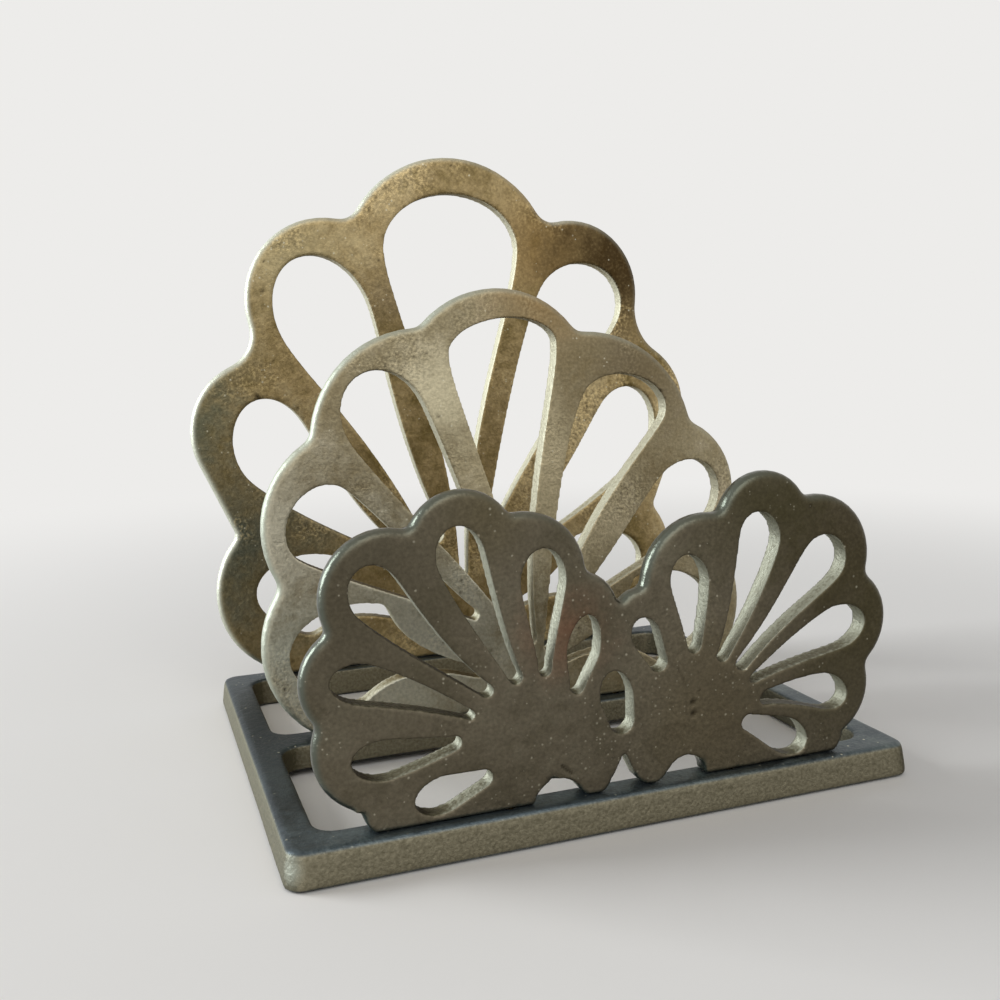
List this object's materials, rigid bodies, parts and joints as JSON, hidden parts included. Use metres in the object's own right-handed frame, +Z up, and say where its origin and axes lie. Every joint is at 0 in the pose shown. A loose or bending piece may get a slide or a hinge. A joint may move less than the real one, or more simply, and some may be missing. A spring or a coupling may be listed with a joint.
{
  "type": "desk magazine and letter rack",
  "caption": "Desk rack for magazines and letters in cast brass: a low open rectangular base with upright pierced scallop-shell plates that rise from front to back.",
  "frame": {"origin": "middle of the base in plan, on the surface that the rack stands on", "axes": "+X to the right, +Y to the back, +Z up; the lowest shell is at the front (-Y)"},
  "size_m": [0.1608, 0.1238, 0.1619],
  "materials": {
    "base": "aged sand-cast brass with a dark olive patina",
    "front": "aged sand-cast brass, dark bronze-brown patina, satin",
    "middle": "aged sand-cast brass, grey-olive, satin",
    "rear": "aged sand-cast brass, warm golden olive, satin",
    "screw": "turned brass, dulled"
  },
  "bodies": {
    "root": {"base_casting": "base", "front_shell": "front", "middle_shell": "middle", "rear_shell": "rear", "front_shell_screw_1": "screw", "front_shell_screw_2": "screw", "middle_shell_screw_1": "screw", "middle_shell_screw_2": "screw", "rear_shell_screw_1": "screw", "rear_shell_screw_2": "screw"}
  },
  "joints": []
}
